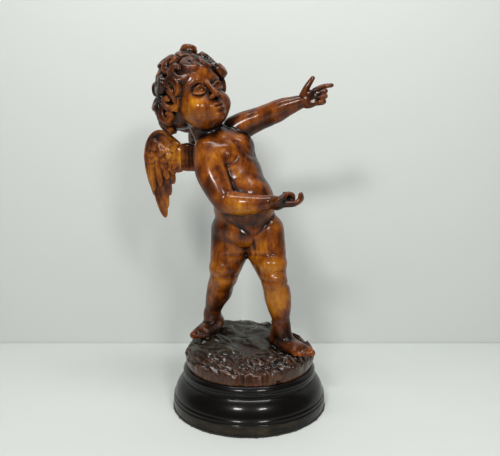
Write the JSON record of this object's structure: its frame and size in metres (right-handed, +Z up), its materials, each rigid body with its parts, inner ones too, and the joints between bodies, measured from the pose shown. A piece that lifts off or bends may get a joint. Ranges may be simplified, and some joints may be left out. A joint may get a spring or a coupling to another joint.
{
  "type": "cherub statue",
  "caption": "Carved wood putto striding on a rock, wings spread behind, one arm pointing out and one palm up, on a round turned black plinth with a felt underside.",
  "frame": {"origin": "centre of the felt pad's underside, on the turned plinth's axis", "axes": "+Z up along the plinth's axis, +X to the viewer's right (the putto's pointing arm), +Y to the back, away from the viewer"},
  "size_m": [0.316, 0.2586, 0.5939],
  "materials": {
    "stained_wood": "carved wood under glossy varnish, amber brown mottled with dark red-brown stain",
    "ebonised_wood": "turned wood, ebonised and polished to a gloss, worn brown in places",
    "black_felt": "thin black felt with a frayed edge"
  },
  "bodies": {
    "root": {"cherub_on_rock": "stained_wood", "right_wing": "stained_wood", "left_wing": "stained_wood", "plinth": "ebonised_wood", "felt_pad": "black_felt"}
  },
  "joints": []
}
